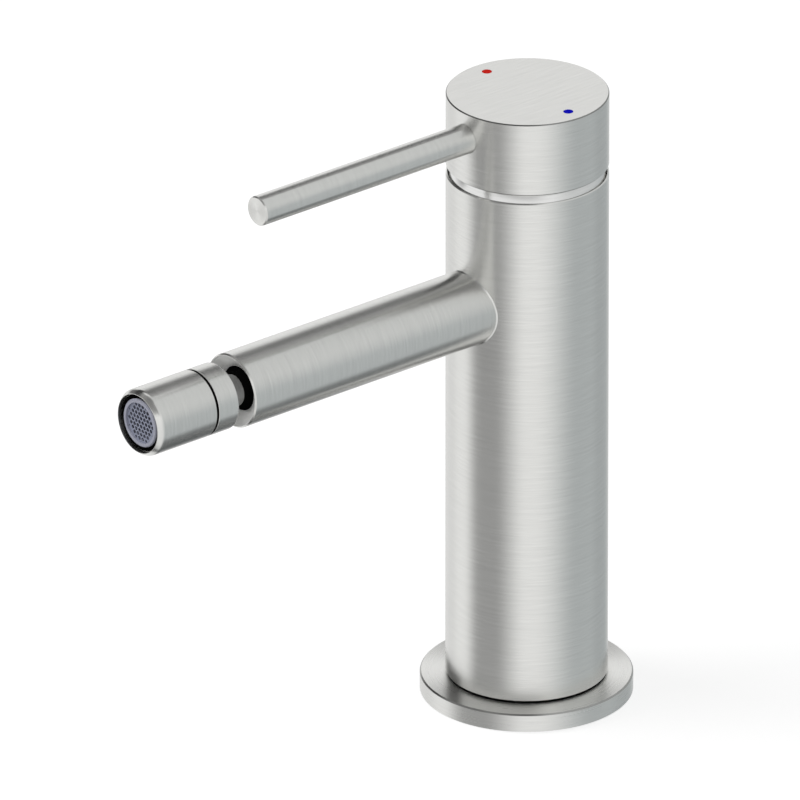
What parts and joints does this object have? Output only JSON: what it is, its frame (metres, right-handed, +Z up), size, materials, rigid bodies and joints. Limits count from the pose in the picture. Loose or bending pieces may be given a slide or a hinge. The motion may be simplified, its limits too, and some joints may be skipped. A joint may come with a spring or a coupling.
{
  "type": "bidet mixer",
  "caption": "Single-lever deck bidet mixer: round column with a cap and pin lever, straight spout and a ball-jointed nozzle with aerator, in satin brushed steel.",
  "frame": {"origin": "centre of the underside, on the deck, on the column's axis", "axes": "+Z up along the column, -Y towards the spout and the lever, +X to the cold side"},
  "size_m": [0.059, 0.1686, 0.1807],
  "materials": {
    "satin_steel": "satin brushed",
    "polished_steel": "polished",
    "brass": "machined",
    "copper": "drawn tube",
    "black_rubber": "matte",
    "ceramic": "lapped",
    "white_plastic": "moulded",
    "grey_plastic": "moulded",
    "black_plastic": "moulded",
    "red_enamel": "enamel",
    "blue_enamel": "enamel"
  },
  "bodies": {
    "root": {"column": "satin_steel", "base_flange": "satin_steel", "base_seal": "black_rubber", "deck_gasket": "black_rubber", "base_plug": "brass", "hot_tube": "copper", "cold_tube": "copper", "valve_block": "brass", "cartridge_base": "white_plastic", "cartridge_seals": "black_rubber", "cartridge_housing": "grey_plastic", "fixed_disc": "ceramic", "cartridge_nut": "brass", "dome_cover": "polished_steel", "spout_tube": "satin_steel", "spout_connector": "brass", "spout_seals": "black_rubber", "joint_bush": "brass", "ball_seal": "black_rubber", "ball_retainer": "polished_steel"},
    "carrier": {"rotor": "white_plastic", "pivot_pin": "polished_steel"},
    "disc": {"disc_coupler": "black_plastic", "moving_disc": "ceramic"},
    "handle": {"cap": "satin_steel", "lever_pin": "satin_steel", "lever_stem": "brass", "grub_screw": "polished_steel", "hot_dot": "red_enamel", "cold_dot": "blue_enamel"},
    "swivel": {"slip_ring": "white_plastic"},
    "nozzle": {"nozzle_ball": "black_plastic", "nozzle_neck": "satin_steel", "nozzle_washer": "black_rubber", "nozzle_sleeve": "satin_steel", "aerator_seal": "black_rubber", "aerator_housing": "black_plastic", "aerator_insert": "grey_plastic", "aerator_mesh": "grey_plastic", "jet_disc": "white_plastic"}
  },
  "joints": [
    {"name": "temperature", "type": "hinge", "parent": "root", "child": "carrier", "pos_m": [0, 0, 0.1469], "axis": [0, 0, 1], "range_deg": [-50, 50]},
    {"name": "flow", "type": "hinge", "parent": "carrier", "child": "handle", "pos_m": [0, 0, 0.1469], "axis": [-1, 0, 0], "range_deg": [0, 25]},
    {"name": "disc_slide", "type": "slide", "parent": "carrier", "child": "disc", "axis": [0, -1, 0], "range_m": [0, 0.0023]},
    {"name": "nozzle_spin", "type": "hinge", "parent": "root", "child": "swivel", "pos_m": [0, -0.0999, 0.1218], "axis": [0, -1, 0], "continuous": true},
    {"name": "nozzle_tilt", "type": "hinge", "parent": "swivel", "child": "nozzle", "pos_m": [0, -0.0999, 0.1218], "axis": [1, 0, 0], "range_deg": [-20, 20]}
  ],
  "couplings": [
    {"joint": "disc_slide", "follows": "flow", "m_per_rad": 0.0052}
  ]
}
